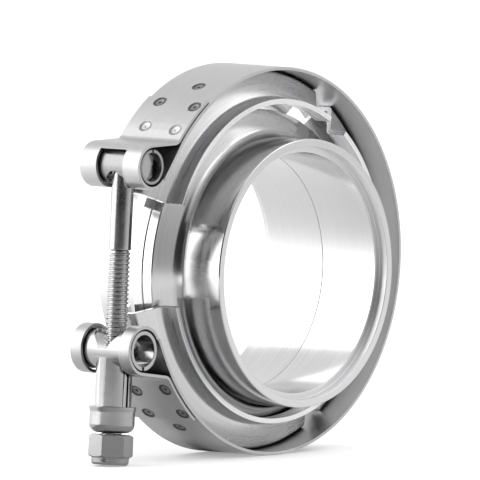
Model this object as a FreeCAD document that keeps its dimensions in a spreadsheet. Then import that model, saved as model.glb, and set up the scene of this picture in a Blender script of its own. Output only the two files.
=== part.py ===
"""A T-bolt V-band clamp round a pair of weld flanges, loosened, standing on its rim and its nut.

The clamp's axis is Y and its front faces -Y. The origin is the middle of the flanges' bore
at their joint. Each piece of the clamp is drawn upright, with the middle of the band at the
origin and the T-bolt on the -X side, and is then rolled about Y until the band and the foot
of the nut stand on the same floor. Sizes are in millimetres and angles in degrees.
"""

import FreeCAD, Part

import math
import os

import Sketcher
from FreeCAD import Placement, Rotation, Vector

AXIS = Vector(0, 1, 0)
UP = Vector(0, 0, 1)

SIZES = [
    # weld flanges, which the clamp is made to fit
    ("stub_radius", 38.1),
    ("stub_length", 22.3),
    ("rim_height", 7.4),
    ("rim_half_width", 3.5),
    ("cone_angle", 27.0),
    ("neck_fillet", 3.4),
    ("socket_wall", 2.2),
    ("socket_depth", 2.9),
    ("bore_wall", 4.0),
    ("flange_chamfer", 0.4),
    ("joint_chamfer", 0.2),
    ("tongue_inset", 2.4),
    ("tongue_width", 3.0),
    ("tongue_height", 1.2),
    ("tongue_clearance", 0.1),
    ("flange_drop", 2.9),
    ("seat_play", 0.35),
    # band: one strip, folded back over itself at both ends
    ("band_stand_off", 8.6),
    ("band_sheet", 0.9),
    ("band_width", 22.8),
    ("tail_width", 21.8),
    ("tail_gap", 0.1),
    ("tail_bend_radius", 3.0),
    ("tail_lean_angle", 4.0),
    ("upper_tail_end_angle", 125.8),
    ("lower_tail_end_angle", 125.3),
    # loops that hold the T-bolt and the trunnion
    ("bolt_stand_off", 1.5),
    ("loop_half_spacing", 26.05),
    ("upper_loop_radius", 5.6),
    ("upper_slot_width", 9.6),
    ("upper_slot_reach", 4.4),
    ("upper_bridge_height", 4.6),
    ("lower_loop_radius", 6.15),
    ("lower_slot_width", 13.6),
    ("lower_slot_reach", 6.2),
    # three channel segments that are spot-welded inside the band
    ("retainer_sheet", 1.5),
    ("retainer_fit", 0.05),
    ("retainer_corner_radius", 1.5),
    ("mouth_stand_off", 1.5),
    ("retainer_leg_angle", 27.0),
    ("lip_inset", 0.2),
    ("lip_bend_radius", 1.9),
    ("lip_reach", 12.0),
    ("upper_gap_angle", 58.2),
    ("lower_gap_angle", 56.4),
    ("gap_half_angle", 4.6),
    ("upper_end_angle", 160.2),
    ("lower_end_angle", 162.8),
    # T-bolt and its sleeve
    ("shank_radius", 3.175),
    ("thread_relief", 0.075),
    ("plain_length", 24.0),
    ("bolt_end_inset", 0.7),
    ("bolt_end_chamfer", 0.6),
    ("head_radius", 3.85),
    ("head_flat_width", 5.2),
    ("head_length", 13.2),
    ("sleeve_radius", 5.0),
    ("sleeve_sheet", 0.9),
    ("sleeve_length", 21.2),
    ("sleeve_slit", 0.6),
    ("sleeve_hole_radius", 4.7),
    # trunnion: one folded sheet, a cross tube with a stem
    ("tube_radius", 5.7),
    ("trunnion_sheet", 1.2),
    ("tube_length", 21.4),
    ("tube_seam", 0.35),
    ("trunnion_mouth_radius", 5.9),
    ("trunnion_mouth_height", 0.3),
    ("stem_radius", 5.25),
    ("stem_length", 22.25),
    ("stem_seam", 0.8),
    ("stem_seam_bevel", 0.4),
    ("stem_window_width", 3.0),
    ("stem_window_height", 2.8),
    # cup on the stem, and the lock nut
    ("cup_radius", 6.45),
    ("cup_length", 7.4),
    ("cup_floor", 1.4),
    ("cup_fit", 0.1),
    ("cup_rounding", 2.4),
    ("cup_flare", 0.3),
    ("cup_flare_height", 1.7),
    ("cup_bolt_hole_radius", 3.45),
    ("nut_gap", 0.6),
    ("nut_flats", 11.11),
    ("nut_height", 6.4),
    ("nut_chamfer_angle", 30.0),
    ("nut_collar_radius", 5.3),
    ("nut_collar_height", 2.1),
    ("nut_collar_chamfer", 0.5),
    ("nut_rest_angle", 16.2),
    ("thread_clearance", 0.05),
]

doc = FreeCAD.newDocument("v_band_clamp")
sheet = doc.addObject("Spreadsheet::Sheet", "Sizes")
for line, (alias, amount) in enumerate(SIZES, start=1):
    sheet.set(f"A{line}", alias)
    sheet.set(f"B{line}", str(amount))
    sheet.setAlias(f"B{line}", alias)
doc.recompute()


class Size:
    """A length or angle, known both as a number and as the formula that features are bound to."""

    def __init__(self, formula, number):
        self.formula = formula
        self.number = number

    def combine(self, sign, other, number):
        other_formula = other.formula if isinstance(other, Size) else repr(other)
        return Size(f"({self.formula} {sign} {other_formula})", number)

    def __add__(self, other):
        return self.combine("+", other, self.number + plain(other))

    def __sub__(self, other):
        return self.combine("-", other, self.number - plain(other))

    def __mul__(self, other):
        return self.combine("*", other, self.number * plain(other))

    def __truediv__(self, other):
        return self.combine("/", other, self.number / plain(other))

    def tangent(self):
        return Size(f"tan({self.formula} * 1 deg)", math.tan(math.radians(self.number)))


def plain(amount):
    return amount.number if isinstance(amount, Size) else amount


def size(alias):
    return Size(f"Sizes.{alias}", float(sheet.get(alias)))


def number(alias):
    return float(sheet.get(alias))


def rim_radius():
    return size("stub_radius") + size("rim_height")


def bore_radius():
    return size("stub_radius") - size("bore_wall")


def band_inner_radius():
    return rim_radius() + size("band_stand_off")


def band_middle_radius():
    return band_inner_radius().number + number("band_sheet") / 2


def bolt_offset():
    """How far the T-bolt's axis is from the middle of the clamp."""
    return (band_inner_radius() + size("bolt_stand_off")).number


def bind(feature, prop, amount):
    feature.setExpression(prop, amount.formula)


def origin_plane(body, role):
    return next(f for f in body.Origin.OriginFeatures if f.Role == role)


def outline(body, name, role, corners):
    """A closed sketch of straight lines, with each corner bound to its two sizes."""
    sketch = body.newObject("Sketcher::SketchObject", name)
    sketch.AttachmentSupport = [(origin_plane(body, role), "")]
    sketch.MapMode = "FlatFace"
    points = [Vector(plain(x), plain(y), 0) for x, y in corners]
    for start, end in zip(points, points[1:] + points[:1]):
        sketch.addGeometry(Part.LineSegment(start, end), False)
    for side in range(len(corners)):
        following = (side + 1) % len(corners)
        sketch.addConstraint(Sketcher.Constraint("Coincident", side, 2, following, 1))
    for side, (x, y) in enumerate(corners):
        place_corner(sketch, side, "DistanceX", x)
        place_corner(sketch, side, "DistanceY", y)
    return sketch


def place_corner(sketch, side, kind, amount):
    """Ties one corner to the sketch's origin, or to its axis where the amount is zero."""
    if plain(amount) == 0:
        axis = -2 if kind == "DistanceX" else -1
        sketch.addConstraint(Sketcher.Constraint("PointOnObject", side, 1, axis))
        return
    index = sketch.addConstraint(Sketcher.Constraint(kind, -1, 1, side, 1, plain(amount)))
    if isinstance(amount, Size):
        sketch.setExpression(f"Constraints[{index}]", amount.formula)


def turned_body(label, corners):
    """A body turned about its own Y axis from an outline of radius and height."""
    body = doc.addObject("PartDesign::Body", label)
    body.Label = label
    profile = outline(body, label + "_profile", "XY_Plane", corners)
    turn = body.newObject("PartDesign::Revolution", label + "_turn")
    turn.Profile = profile
    turn.ReferenceAxis = (profile, ["V_Axis"])
    turn.Angle = 360
    doc.recompute()
    return body


def ring_edges(shape, radius, height):
    """Names of the circular edges about Y that have this radius and height."""
    names = []
    for index, edge in enumerate(shape.Edges, start=1):
        curve = edge.Curve
        if isinstance(curve, Part.Circle) and abs(curve.Radius - radius) < 1e-4:
            if abs(curve.Center.y - height) < 1e-4:
                names.append(f"Edge{index}")
    return names


def round_ring(body, kind, name, radius, height, amount):
    """A fillet or chamfer on the body's circular edge of the given radius and height."""
    tip = body.Tip
    edges = ring_edges(tip.Shape, plain(radius), plain(height))
    feature = body.newObject("PartDesign::" + kind, name)
    feature.Base = (tip, edges)
    prop = "Radius" if kind == "Fillet" else "Size"
    bind(feature, prop, amount)
    doc.recompute()


def solid_part(label, shape):
    feature = doc.addObject("Part::Feature", label)
    feature.Label = label
    feature.Shape = shape
    return feature


def polar(radius, degrees, centre=(0.0, 0.0)):
    turn = math.radians(degrees)
    return (centre[0] + radius * math.cos(turn), centre[1] + radius * math.sin(turn))


def above(point):
    """A point of the clamp's ring plane, as the upper loop uses it."""
    return Vector(point[0], 0, point[1])


def below(point):
    """The same point mirrored, as the lower loop uses it."""
    return Vector(point[0], 0, -point[1])


class Strip:
    """The middle line of a bent sheet: arcs and straight runs that join smoothly in a plane."""

    def __init__(self, to_space):
        self.to_space = to_space
        self.runs = []

    def arc(self, centre, radius, start, end):
        self.runs.append((centre, radius, start, end))

    def point(self, run, side, fraction):
        """A point beside the middle line, on its left for one sign of side and right for the other."""
        centre, radius, start, end = run
        outward = 1 if end < start else -1
        return polar(radius + outward * side, start + (end - start) * fraction, centre)

    def edge_line(self, side):
        """The arcs of one side, with a straight run wherever one arc ends short of the next."""
        edges = []
        last = None
        for run in self.runs:
            first, middle, end = (self.to_space(self.point(run, side, f)) for f in (0, 0.5, 1))
            if last is not None and last.distanceToPoint(first) > 1e-6:
                edges.append(Part.LineSegment(last, first).toShape())
            edges.append(Part.Arc(first, middle, end).toShape())
            last = end
        return edges

    def face(self, thickness):
        left = self.edge_line(thickness / 2)
        right = self.edge_line(-thickness / 2)
        ends = []
        for corner in (0, -1):
            a = left[corner].Vertexes[corner].Point
            b = right[corner].Vertexes[corner].Point
            ends.append(Part.LineSegment(a, b).toShape())
        edges = Part.__sortEdges__(left + right + ends)
        return Part.Face(Part.Wire(edges))


def flat_face(corners):
    return Part.Face(Part.makePolygon(corners + corners[:1]))


def extrude_across(face, width):
    solid = face.extrude(AXIS * width)
    solid.translate(AXIS * (-width / 2))
    return solid


def block(x_low, x_high, y_low, y_high, z_low, z_high):
    lengths = (x_high - x_low, y_high - y_low, z_high - z_low)
    return Part.makeBox(*lengths, Vector(x_low, y_low, z_low))


def cylinder(radius, length, start, direction):
    return Part.makeCylinder(radius, length, start, direction)


def loop_layout(loop_radius):
    """Where the strip leaves the band, where it meets the loop, and where its tail bend sits."""
    band_radius = band_middle_radius()
    tail_radius = band_radius + number("band_sheet") + number("tail_gap")
    middle = loop_radius + number("band_sheet") / 2
    loop = (-bolt_offset(), number("loop_half_spacing"))
    distance = math.hypot(*loop)
    bearing = math.degrees(math.atan2(loop[1], loop[0]))
    leave = bearing - math.degrees(math.acos((band_radius + middle) / distance))
    lean = number("tail_lean_angle")
    bend = number("tail_bend_radius")
    along = (math.cos(math.radians(lean)), math.sin(math.radians(lean)))
    base = (loop[0] - along[1] * (middle + bend), loop[1] + along[0] * (middle + bend))
    reach = base[0] * along[0] + base[1] * along[1]
    spare = base[0] ** 2 + base[1] ** 2 - (tail_radius + bend) ** 2
    run = -reach - math.sqrt(reach ** 2 - spare)
    bend_centre = (base[0] + run * along[0], base[1] + run * along[1])
    landing = math.degrees(math.atan2(bend_centre[1], bend_centre[0]))
    return {
        "band_radius": band_radius,
        "tail_radius": tail_radius,
        "middle": middle,
        "loop": loop,
        "leave": leave,
        "meet": leave + 180,
        "top": lean + 90,
        "bend": bend,
        "bend_centre": bend_centre,
        "landing": landing,
    }


def folded_end(layout, tail_end, to_space):
    """One end of the strip: round the loop, back along the outside of the band."""
    strip = Strip(to_space)
    strip.arc(layout["loop"], layout["middle"], layout["meet"], layout["top"])
    bend_start = layout["top"] - 180
    strip.arc(layout["bend_centre"], layout["bend"], bend_start, layout["landing"] - 180)
    strip.arc((0.0, 0.0), layout["tail_radius"], layout["landing"], tail_end)
    return extrude_across(strip.face(number("band_sheet")), number("tail_width"))


def leg_to_loop(layout, to_space):
    """The straight run of the strip between the round band and the loop."""
    half = number("band_sheet") / 2
    start = [polar(layout["band_radius"] + side, layout["leave"]) for side in (half, -half)]
    end = [polar(layout["middle"] + side, layout["meet"], layout["loop"]) for side in (half, -half)]
    corners = [to_space(point) for point in start + end]
    return extrude_across(flat_face(corners), number("band_width"))


def band_arc(upper, lower):
    """The round part of the band, from the end of the lower leg to the start of the upper one."""
    inner = band_inner_radius().number
    outer = inner + number("band_sheet")
    half = number("band_width") / 2
    section = flat_face([
        Vector(inner, -half, 0),
        Vector(outer, -half, 0),
        Vector(outer, half, 0),
        Vector(inner, half, 0),
    ])
    ring = section.revolve(Vector(0, 0, 0), AXIS, -upper["leave"] - lower["leave"])
    ring.rotate(Vector(0, 0, 0), AXIS, lower["leave"])
    return ring


def make_outer_band():
    upper = loop_layout(number("upper_loop_radius"))
    lower = loop_layout(number("lower_loop_radius"))
    pieces = [
        leg_to_loop(upper, above),
        leg_to_loop(lower, below),
        folded_end(upper, number("upper_tail_end_angle"), above),
        folded_end(lower, number("lower_tail_end_angle"), below),
    ]
    band = band_arc(upper, lower).fuse(pieces)
    offset = bolt_offset()
    spacing = number("loop_half_spacing")
    left_of_loops = -2 * offset
    below_loops = -2 * spacing
    upper_half = number("upper_slot_width") / 2
    lower_half = number("lower_slot_width") / 2
    upper_slot = block(
        left_of_loops, -offset + number("upper_slot_reach"), -upper_half, upper_half,
        0, spacing + number("upper_bridge_height"))
    lower_slot = block(
        left_of_loops, -offset + number("lower_slot_reach"), -lower_half, lower_half,
        below_loops, 0)
    band = band.cut([upper_slot, lower_slot]).removeSplitter()
    return solid_part("outer_band", band)


def channel_layout():
    """The section of a retainer: a trough with sloping legs and lips bent outwards.

    The legs lie seat_play off the cones of the flanges where these hang lowest.
    """
    sheet_half = number("retainer_sheet") / 2
    lean = number("retainer_leg_angle")
    slope = math.tan(math.radians(lean))
    turn = 90 - lean
    rim = rim_radius().number
    bottom = band_inner_radius().number - number("retainer_fit") - sheet_half
    mouth = rim + number("mouth_stand_off")
    lip = rim - number("lip_inset")
    lowest_rim = rim + number("flange_drop") + number("seat_play")
    half_inside = number("rim_half_width") + (lowest_rim - mouth) * slope
    half_mouth = half_inside + sheet_half / math.cos(math.radians(lean))
    corner = number("retainer_corner_radius")
    bend = number("lip_bend_radius")
    half_turn = math.tan(math.radians(turn / 2))
    bottom_half = half_mouth - (bottom - mouth) * slope - corner * half_turn
    lip_start = half_mouth + (mouth - lip) * slope + bend * half_turn
    return bottom, corner, bottom_half, turn, lip, bend, lip_start


def retainer(label, start, end):
    bottom, corner, bottom_half, turn, lip, bend, lip_start = channel_layout()
    half = number("retainer_sheet") / 2
    reach = number("lip_reach")

    def side_line(offset, mirror):
        """One side of one half of the trough, from its middle out to the lip's edge."""
        def at(point):
            return Vector(point[1], mirror * point[0], 0)
        corner_centre = (bottom_half, bottom - corner)
        bend_centre = (lip_start, lip + bend)
        near = corner + offset
        far = bend - offset
        points = [polar(near, 90 - turn * f, corner_centre) for f in (0, 0.5, 1)]
        more = [polar(far, 270 - turn * (1 - f), bend_centre) for f in (0, 0.5, 1)]
        first = at((0, bottom + offset))
        last = at((reach, lip + offset))
        return [
            Part.LineSegment(first, at(points[0])).toShape(),
            Part.Arc(*[at(p) for p in points]).toShape(),
            Part.LineSegment(at(points[2]), at(more[0])).toShape(),
            Part.Arc(*[at(p) for p in more]).toShape(),
            Part.LineSegment(at(more[2]), last).toShape(),
        ]

    edges = []
    for mirror in (1, -1):
        edges += side_line(half, mirror) + side_line(-half, mirror)
        a = Vector(lip + half, mirror * reach, 0)
        b = Vector(lip - half, mirror * reach, 0)
        edges.append(Part.LineSegment(a, b).toShape())
    face = Part.Face(Part.Wire(Part.__sortEdges__(edges)))
    segment = solid_part(label, face.revolve(Vector(0, 0, 0), AXIS, start - end))
    place(segment, Placement(Vector(0, 0, 0), Rotation(AXIS, -start)))
    return segment


def make_flange(label, tongue_side):
    """A weld flange from its joint face at y = 0 to its socket, with a tongue or its groove."""
    rim = rim_radius()
    stub = size("stub_radius")
    end = size("stub_length")
    bore = bore_radius()
    socket = stub - size("socket_wall")
    neck = size("rim_half_width") + size("rim_height") * size("cone_angle").tangent()
    shoulder = end - size("socket_depth")
    inner = bore + size("tongue_inset")
    outer = inner + size("tongue_width")
    step = size("tongue_height") * -1
    if not tongue_side:
        inner = inner - size("tongue_clearance")
        outer = outer + size("tongue_clearance")
        step = size("tongue_height") + size("tongue_clearance")
    corners = [
        (bore, 0),
        (inner, 0),
        (inner, step),
        (outer, step),
        (outer, 0),
        (rim, 0),
        (rim, size("rim_half_width")),
        (stub, neck),
        (stub, end),
        (socket, end),
        (socket, shoulder),
        (bore, shoulder),
    ]
    body = turned_body(label, corners)
    chamfer = size("flange_chamfer")
    round_ring(body, "Fillet", label + "_neck", stub, neck, size("neck_fillet"))
    round_ring(body, "Chamfer", label + "_rim_edge", rim, size("rim_half_width"), chamfer)
    round_ring(body, "Chamfer", label + "_end_edge", stub, end, chamfer)
    round_ring(body, "Chamfer", label + "_bore_edge", bore, 0, size("joint_chamfer"))
    return body


def bolt_point(height):
    """A point on the T-bolt's axis, at a height over the middle of the clamp."""
    return Vector(-bolt_offset(), 0, height)


def stand_up(height):
    """Turns a piece drawn along Y so that it stands on the T-bolt's axis, at this height."""
    return Placement(bolt_point(height), Rotation(Vector(1, 0, 0), 90))


def bolt_length():
    """From the middle of the T-bolt's head to its end, a little inside the end of the nut."""
    to_cup = size("loop_half_spacing") * 2 + size("stem_length") + size("cup_floor")
    nut = size("nut_gap") + size("nut_height") + size("nut_collar_height")
    return to_cup + nut - size("bolt_end_inset")


def make_t_bolt():
    """The T-bolt: a turned shank whose thread starts at y = 0, and a flattened head."""
    end = size("plain_length") - bolt_length()
    chamfer = size("bolt_end_chamfer")
    thread = size("shank_radius") - size("thread_relief")
    shank = turned_body("t_bolt_shank", [
        (0, size("plain_length")),
        (size("shank_radius"), size("plain_length")),
        (size("shank_radius"), 0),
        (thread, 0),
        (thread, end + chamfer),
        (thread - chamfer, end),
        (0, end),
    ])
    head_height = number("loop_half_spacing")
    shank.Placement = stand_up(head_height - number("plain_length"))
    half_length = number("head_length") / 2
    half_flat = number("head_flat_width") / 2
    start = bolt_point(head_height) - AXIS * half_length
    round_head = cylinder(number("head_radius"), number("head_length"), start, AXIS)
    x = -bolt_offset()
    between_flats = block(
        x - half_flat, x + half_flat, -half_length, half_length, 0, 2 * head_height)
    head = solid_part("t_bolt_head", round_head.common(between_flats))
    bolt = doc.addObject("Part::Fuse", "t_bolt")
    bolt.Label = "t_bolt"
    bolt.Base = shank
    bolt.Tool = head
    return bolt


def sleeve_shape():
    height = number("loop_half_spacing")
    length = number("sleeve_length")
    start = bolt_point(height) - AXIS * (length / 2)
    inner = number("sleeve_radius") - number("sleeve_sheet")
    sleeve = cylinder(number("sleeve_radius"), length, start, AXIS)
    hollow = cylinder(inner, length, start, AXIS)
    hole = cylinder(number("sleeve_hole_radius"), height, bolt_point(0), UP)
    half_slit = number("sleeve_slit") / 2
    x = -bolt_offset()
    slit = block(x - half_slit, x + half_slit, -length, length, height, 2 * height)
    return sleeve.cut([hollow, hole, slit])


def stem_seam(bottom, top):
    """What the seam takes from the stem: a slot through it that opens out at both faces."""
    x = -bolt_offset()
    outer = number("stem_radius")
    half_seam = number("stem_seam") / 2
    half_mouth = half_seam + number("stem_seam_bevel")
    inner = outer - number("stem_seam_bevel")
    slot = block(x - half_seam, x + half_seam, -outer, outer, bottom, top)
    bevels = []
    for side in (-1, 1):
        bevel = flat_face([
            Vector(x - half_seam, side * inner, bottom),
            Vector(x + half_seam, side * inner, bottom),
            Vector(x + half_mouth, side * outer, bottom),
            Vector(x - half_mouth, side * outer, bottom),
        ])
        bevels.append(bevel.extrude(UP * (top - bottom)))
    return [slot] + bevels


def trunnion_shape():
    height = -number("loop_half_spacing")
    length = number("tube_length")
    x = -bolt_offset()
    wall = number("trunnion_sheet")
    tube_outer = number("tube_radius")
    stem_outer = number("stem_radius")
    stem_inner = stem_outer - wall
    stem_length = number("stem_length")
    foot = height - stem_length
    start = bolt_point(height) - AXIS * (length / 2)
    tube = cylinder(tube_outer, length, start, AXIS)
    tube_hollow = cylinder(tube_outer - wall, length, start, AXIS)
    stem = cylinder(stem_outer, stem_length, bolt_point(foot), UP)
    bolt_hole = cylinder(stem_inner, stem_length + 2 * tube_outer, bolt_point(foot), UP)
    tube_bottom = height - tube_outer
    half_window = number("stem_window_width") / 2
    window = flat_face([
        Vector(x - half_window, -stem_outer, tube_bottom),
        Vector(x + half_window, -stem_outer, tube_bottom),
        Vector(x, -stem_outer, tube_bottom - number("stem_window_height")),
    ]).extrude(AXIS * (2 * stem_outer))
    half_slit = number("tube_seam") / 2
    slit = block(x - half_slit, x + half_slit, -length, length,
                 tube_bottom - wall, tube_bottom + 2 * wall)
    mouth_bottom = bolt_point(height + number("trunnion_mouth_height"))
    mouth = cylinder(number("trunnion_mouth_radius"), 2 * tube_outer, mouth_bottom, UP)
    cuts = [tube_hollow, bolt_hole, mouth, window, slit]
    cuts += stem_seam(foot, tube_bottom + wall)
    return tube.fuse(stem).cut(cuts).removeSplitter()


def cup_floor_height():
    """The underside of the cup's floor, with the stem's end seated on the floor."""
    return -number("loop_half_spacing") - number("stem_length") - number("cup_floor")


def make_cup():
    """The cup on the end of the stem, drawn mouth up with its floor's underside at y = 0."""
    inner = size("stem_radius") + size("cup_fit")
    outer = size("cup_radius")
    top = size("cup_length")
    body = turned_body("stem_cup", [
        (size("cup_bolt_hole_radius"), 0),
        (outer, 0),
        (outer, top - size("cup_flare_height")),
        (outer + size("cup_flare"), top),
        (inner, top),
        (inner, size("cup_floor")),
        (size("cup_bolt_hole_radius"), size("cup_floor")),
    ])
    round_ring(body, "Fillet", "stem_cup_foot", outer, 0, size("cup_rounding"))
    return body


def make_nut():
    """The lock nut, drawn with its collar down and the collar's end at y = 0."""
    bore = size("shank_radius") + size("thread_clearance")
    top = size("nut_collar_height") + size("nut_height")
    body = doc.addObject("PartDesign::Body", "lock_nut")
    body.Label = "lock_nut"
    corner = size("nut_flats") / math.sqrt(3)
    half = size("nut_flats") / 2
    hexagon = outline(body, "nut_hexagon", "XZ_Plane", [
        (corner, 0),
        (corner / 2, half),
        (corner / -2, half),
        (corner * -1, 0),
        (corner / -2, half * -1),
        (corner / 2, half * -1),
    ])
    pad = body.newObject("PartDesign::Pad", "nut_blank")
    pad.Profile = hexagon
    bind(pad, "Length", top)
    pad.Reversed = True
    doc.recompute()
    slope = size("nut_chamfer_angle").tangent()
    far = corner * 2
    trims = {
        "nut_top_cone": [
            (half, top),
            (far, top),
            (far, top - (far - half) * slope),
        ],
        "nut_collar_step": [
            (size("nut_collar_radius"), 0),
            (far, 0),
            (far, size("nut_collar_height") + (far - half) * slope),
            (half, size("nut_collar_height")),
            (size("nut_collar_radius"), size("nut_collar_height")),
        ],
        "nut_collar_edge": [
            (size("nut_collar_radius") - size("nut_collar_chamfer"), 0),
            (size("nut_collar_radius"), 0),
            (size("nut_collar_radius"), size("nut_collar_chamfer")),
        ],
        "nut_bore": [
            (0, 0),
            (bore, 0),
            (bore, top),
            (0, top),
        ],
    }
    for name, corners in trims.items():
        before = body.Shape.Volume
        profile = outline(body, name + "_profile", "XY_Plane", corners)
        groove = body.newObject("PartDesign::Groove", name)
        groove.Profile = profile
        groove.ReferenceAxis = (profile, ["V_Axis"])
        groove.Angle = 360
        doc.recompute()
        if body.Shape.Volume >= before:
            raise RuntimeError(f"{name} cut nothing")
    return body


def nut_end_depth():
    nut = number("nut_gap") + number("nut_height") + number("nut_collar_height")
    return nut - cup_floor_height()


def roll_angle():
    """How far the clamp leans about Y so that the nut's foot and the band stand on one floor."""
    foot_x = bolt_offset() - number("nut_collar_radius") + number("nut_collar_chamfer")
    foot_z = nut_end_depth()
    band_outer = band_inner_radius().number + number("band_sheet")
    distance = math.hypot(foot_x, foot_z)
    return math.degrees(math.acos(band_outer / distance) - math.atan2(foot_x, foot_z))


def place(feature, local=None):
    """Rolls a piece with the clamp and lifts the clamp over the flanges that hang low in it."""
    rolled = Placement(Vector(0, 0, number("flange_drop")), Rotation(AXIS, roll_angle()))
    feature.Placement = rolled.multiply(local or Placement())


def main():
    band = make_outer_band()
    place(band)
    nodes = [band]
    upper_gap = number("upper_gap_angle")
    lower_gap = number("lower_gap_angle")
    half_gap = number("gap_half_angle")
    spans = {
        "upper_retainer": (upper_gap + half_gap, number("upper_end_angle")),
        "lower_retainer": (-number("lower_end_angle"), -lower_gap - half_gap),
        "back_retainer": (-lower_gap + half_gap, upper_gap - half_gap),
    }
    for label, (start, stop) in spans.items():
        nodes.append(retainer(label, start, stop))
    front = make_flange("front_flange", True)
    front.Placement = Placement(Vector(0, 0, 0), Rotation(UP, 180))
    rear = make_flange("rear_flange", False)
    nodes += [front, rear]
    bolt = make_t_bolt()
    sleeve = solid_part("t_bolt_sleeve", sleeve_shape())
    trunnion = solid_part("trunnion", trunnion_shape())
    for piece in (bolt, sleeve, trunnion):
        place(piece)
    cup = make_cup()
    place(cup, stand_up(cup_floor_height()))
    nut = make_nut()
    turned = Placement(Vector(0, 0, 0), Rotation(AXIS, number("nut_rest_angle")))
    place(nut, stand_up(-nut_end_depth()).multiply(turned))
    nodes += [bolt, sleeve, trunnion, cup, nut]
    doc.recompute()
    return nodes


nodes = main()
for feature in doc.Objects:
    if "Invalid" in feature.State or "Error" in feature.State:
        raise RuntimeError(f"{feature.Name} failed: {feature.State}")
os.makedirs("parts", exist_ok=True)
for node in nodes:
    shape = node.Shape
    if shape.isNull() or not shape.isValid():
        raise RuntimeError(f"{node.Label} has no valid shape")
    shape.exportStep(f"parts/{node.Label}.step")
    print(node.Label, len(shape.Solids), round(shape.Volume, 2))
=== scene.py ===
import math

import bpy
from mathutils import Matrix, Vector


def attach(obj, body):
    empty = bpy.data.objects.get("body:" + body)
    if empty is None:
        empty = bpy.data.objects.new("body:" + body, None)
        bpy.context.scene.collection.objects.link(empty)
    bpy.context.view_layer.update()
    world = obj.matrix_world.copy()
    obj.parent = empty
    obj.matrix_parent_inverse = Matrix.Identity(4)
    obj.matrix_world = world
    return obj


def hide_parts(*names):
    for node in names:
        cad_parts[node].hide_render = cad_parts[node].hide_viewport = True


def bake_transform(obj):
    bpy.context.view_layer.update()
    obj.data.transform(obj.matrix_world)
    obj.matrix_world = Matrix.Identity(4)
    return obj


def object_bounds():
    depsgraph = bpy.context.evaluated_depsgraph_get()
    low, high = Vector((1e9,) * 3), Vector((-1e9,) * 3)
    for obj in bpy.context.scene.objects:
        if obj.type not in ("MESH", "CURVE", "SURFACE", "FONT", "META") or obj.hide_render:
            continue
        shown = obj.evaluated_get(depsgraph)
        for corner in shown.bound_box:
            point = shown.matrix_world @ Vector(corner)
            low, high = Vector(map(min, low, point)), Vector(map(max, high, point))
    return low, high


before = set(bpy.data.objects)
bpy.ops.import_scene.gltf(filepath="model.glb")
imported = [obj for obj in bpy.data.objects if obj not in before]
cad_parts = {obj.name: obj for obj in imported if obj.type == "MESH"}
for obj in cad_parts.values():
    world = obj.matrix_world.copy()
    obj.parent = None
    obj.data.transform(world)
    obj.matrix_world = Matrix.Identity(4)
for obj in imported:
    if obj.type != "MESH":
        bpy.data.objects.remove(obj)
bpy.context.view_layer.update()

# The clamp's sizes in millimetres, as the CAD source has them. Pieces are shaped upright about
# the clamp's own axis Y, and then set down on the floor.
STUB_RADIUS = 38.1
STUB_LENGTH = 22.3
RIM_HEIGHT = 7.4
RIM_HALF_WIDTH = 3.5
CONE_ANGLE = 27
NECK_FILLET = 3.4
SOCKET_WALL = 2.2
SOCKET_DEPTH = 2.9
BORE_WALL = 4.0
TONGUE_INSET = 2.4
TONGUE_WIDTH = 3.0
TONGUE_HEIGHT = 1.2
TONGUE_CLEARANCE = 0.1
FLANGE_DROP = 2.9

BAND_STAND_OFF = 8.6
BAND_SHEET = 0.9
TAIL_GAP = 0.1
BOLT_STAND_OFF = 1.5
LOOP_HALF_SPACING = 26.05

SLEEVE_RADIUS = 5.0
SLEEVE_SHEET = 0.9
SLEEVE_LENGTH = 21.2
SLEEVE_SLIT = 0.6
SHANK_HOLE_RADIUS = 4.7

TUBE_RADIUS = 5.7
TUBE_LENGTH = 21.4
TUBE_SEAM = 0.35
STEM_RADIUS = 5.25
STEM_LENGTH = 22.25
STEM_SEAM = 0.8
TRUNNION_SHEET = 1.2
MOUTH_RADIUS = 5.9
MOUTH_HEIGHT = 0.3
WINDOW_WIDTH = 3.0
WINDOW_HEIGHT = 2.8

CUP_FLOOR = 1.4
NUT_GAP = 0.6
NUT_HEIGHT = 6.4
COLLAR_HEIGHT = 2.1
COLLAR_RADIUS = 5.3
COLLAR_CHAMFER = 0.5

SHANK_RADIUS = 3.175
PLAIN_LENGTH = 24.0
PITCH = 25.4 / 20
BOLT_END_INSET = 0.7
HEAD_RADIUS = 3.85
HEAD_FLAT_WIDTH = 5.2
# The head ends this far inside the sleeve's ends, where the photo shows it. The CAD's is shorter.
HEAD_INSET = 2.0

RIM_RADIUS = STUB_RADIUS + RIM_HEIGHT
BORE_RADIUS = STUB_RADIUS - BORE_WALL
SOCKET_RADIUS = STUB_RADIUS - SOCKET_WALL
SOCKET_STEP = STUB_LENGTH - SOCKET_DEPTH
BAND_INSIDE = RIM_RADIUS + BAND_STAND_OFF
BAND_OUTSIDE = BAND_INSIDE + BAND_SHEET
TAIL_OUTSIDE = BAND_OUTSIDE + TAIL_GAP + BAND_SHEET
BOLT_X = -(BAND_INSIDE + BOLT_STAND_OFF)
UPPER_LOOP_Z = LOOP_HALF_SPACING
LOWER_LOOP_Z = -LOOP_HALF_SPACING
UPPER_LOOP = (BOLT_X, 0, UPPER_LOOP_Z)
LOWER_LOOP = (BOLT_X, 0, LOWER_LOOP_Z)
STEM_FOOT_Z = LOWER_LOOP_Z - STEM_LENGTH
NUT_FOOT_Z = STEM_FOOT_Z - CUP_FLOOR - NUT_GAP - NUT_HEIGHT - COLLAR_HEIGHT
SHANK_END_Z = UPPER_LOOP_Z - PLAIN_LENGTH
BOLT_END_Z = NUT_FOOT_Z + BOLT_END_INSET

# Spare length of a tool or a rod that goes right through a piece or is cut off later.
SPARE = 10
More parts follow.
